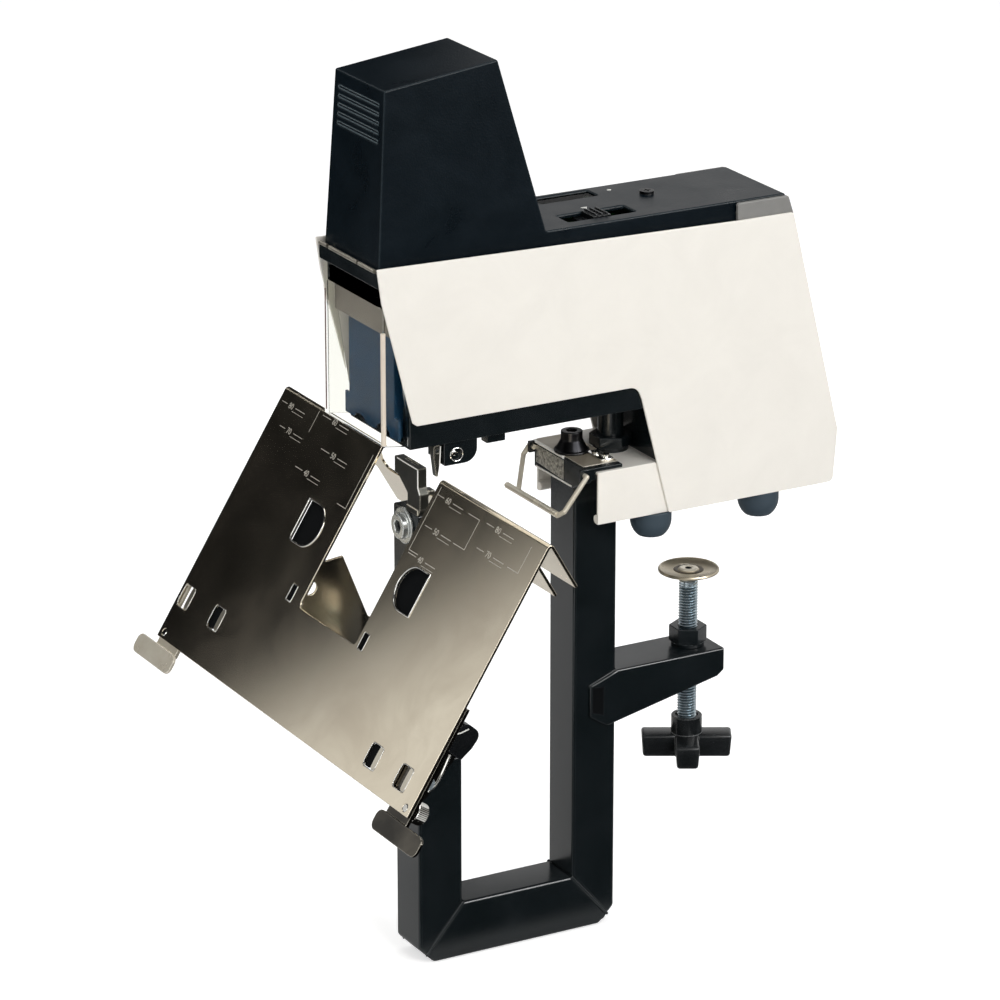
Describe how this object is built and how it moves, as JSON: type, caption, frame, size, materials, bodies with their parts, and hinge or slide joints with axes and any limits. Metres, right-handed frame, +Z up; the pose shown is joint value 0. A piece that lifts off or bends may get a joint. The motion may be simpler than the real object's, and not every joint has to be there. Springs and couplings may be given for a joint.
{
  "type": "electric saddle stapler",
  "caption": "Electric stapler for booklets: a table clamp and U frame carry a motor head over an anvil, with a folded saddle that turns level, a guard and sliding stops.",
  "frame": {"origin": "on the table top, in the mid plane, at the column's rear face, where the table's edge meets the column", "axes": "+X to the operator's right, +Y to the rear over the table, +Z up"},
  "size_m": [0.308, 0.3118, 0.4704],
  "materials": {
    "board_green": "solder resist",
    "cast_white": "satin paint",
    "chrome_bright": "bright",
    "clip_grey": "fine texture",
    "copper": "enamelled wire",
    "face_blue": "satin",
    "frame_black": "gloss powder coat",
    "guard_clear": "clear plastic",
    "hood_black": "fine texture",
    "nickel": "bright nickel",
    "plastic_black": "semi gloss",
    "rubber_grey": "matte",
    "steel_dark": "blackened",
    "steel_grey": "bare",
    "zinc": "zinc plated"
  },
  "bodies": {
    "frame": {"column_tube": "frame_black", "lower_beam": "frame_black", "front_leg": "frame_black", "anvil_post": "frame_black", "seat_pin": "zinc", "anvil": "chrome_bright", "anvil_screw": "zinc", "clamp_arm": "frame_black", "clamp_nut": "frame_black", "base_tray": "cast_white", "base_plate": "cast_white", "rubber_feet": "rubber_grey", "column_cap": "chrome_bright", "cap_screw": "steel_dark", "tie_post": "frame_black", "tie_nut": "frame_black", "rear_cover": "cast_white", "power_inlet": "hood_black", "foot_switch_socket": "hood_black", "chassis_rail": "frame_black", "notch_bulkhead": "frame_black", "trigger_bracket": "frame_black", "side_panel_left": "cast_white", "side_panel_right": "cast_white", "top_hood": "hood_black", "circuit_board": "board_green", "board_window": "guard_clear", "deck_screw": "steel_dark", "deck_clips": "clip_grey", "guard_header": "frame_black", "guard_pin": "steel_grey", "head_plate": "steel_grey", "magazine_face": "face_blue", "head_guide": "steel_grey", "magazine_channel": "steel_grey", "staple_strip": "steel_grey", "solenoid_frame": "steel_grey", "solenoid_coil": "copper", "return_spring": "steel_grey", "lever_pivot": "zinc"},
    "saddle": {"saddle": "nickel", "stop_nuts": "chrome_bright"},
    "left_stop": {"stop_left": "nickel"},
    "right_stop": {"stop_right": "nickel"},
    "lever": {"table_lever": "chrome_bright", "lever_grip": "plastic_black"},
    "bail": {"latch_bail": "chrome_bright"},
    "pad": {"clamp_pad": "nickel"},
    "screw": {"clamp_spindle": "zinc", "clamp_knob": "plastic_black"},
    "guard": {"front_guard": "guard_clear"},
    "driver": {"plunger": "steel_grey", "driver_blade": "steel_grey"},
    "pusher": {"staple_pusher": "steel_grey"},
    "slider": {"slider_knob": "plastic_black"},
    "rocker": {"power_switch": "plastic_black"},
    "feeler": {"trigger_feeler": "chrome_bright"}
  },
  "joints": [
    {"name": "saddle_turn", "type": "hinge", "parent": "frame", "child": "saddle", "pos_m": [0, -0.0764, -0.0105], "axis": [-1, 0, 0], "range_deg": [0, 58]},
    {"name": "left_stop_slide", "type": "slide", "parent": "saddle", "child": "left_stop", "axis": [0, -0.5299, -0.848], "range_m": [0, 0.05]},
    {"name": "right_stop_slide", "type": "slide", "parent": "saddle", "child": "right_stop", "axis": [0, -0.5299, -0.848], "range_m": [0, 0.05]},
    {"name": "lever_swing", "type": "hinge", "parent": "frame", "child": "lever", "pos_m": [0.017, -0.112, -0.112], "axis": [-1, 0, 0], "range_deg": [0, 60]},
    {"name": "bail_swing", "type": "hinge", "parent": "frame", "child": "bail", "pos_m": [0, -0.0286, 0.0395], "axis": [-1, 0, 0], "range_deg": [-34, 120]},
    {"name": "pad_travel", "type": "slide", "parent": "frame", "child": "pad", "axis": [0, 0, 1], "range_m": [-0.02, 0.024]},
    {"name": "screw_turn", "type": "hinge", "parent": "pad", "child": "screw", "pos_m": [0, 0.05, -0.06], "axis": [0, 0, 1], "range_deg": [-4800, 5760]},
    {"name": "guard_lift", "type": "hinge", "parent": "frame", "child": "guard", "pos_m": [0, -0.1387, 0.1485], "axis": [-1, 0, 0], "range_deg": [0, 90]},
    {"name": "driver_stroke", "type": "slide", "parent": "frame", "child": "driver", "axis": [0, 0, -1], "range_m": [0, 0.026], "stiffness_N_per_m": 400, "springref_m": -0.01, "deforming": ["return_spring"]},
    {"name": "pusher_slide", "type": "slide", "parent": "frame", "child": "pusher", "axis": [0, 1, 0], "range_m": [0, 0.03], "stiffness_N_per_m": 60, "springref_m": -0.02},
    {"name": "slider_travel", "type": "slide", "parent": "frame", "child": "slider", "axis": [0, 1, 0], "range_m": [-0.008, 0.008]},
    {"name": "rocker_tilt", "type": "hinge", "parent": "frame", "child": "rocker", "pos_m": [0, 0.10263, 0.0971], "axis": [1, 0, 0], "range_deg": [0, 14]},
    {"name": "feeler_swing", "type": "hinge", "parent": "frame", "child": "feeler", "pos_m": [0.026, -0.111, 0.066], "axis": [1, 0, 0], "range_deg": [0, 10], "stiffness_Nm_per_rad": 0.004, "springref_deg": -17.19}
  ],
  "couplings": [
    {"joint": "screw_turn", "follows": "pad_travel", "rad_per_m": 4188.8}
  ]
}
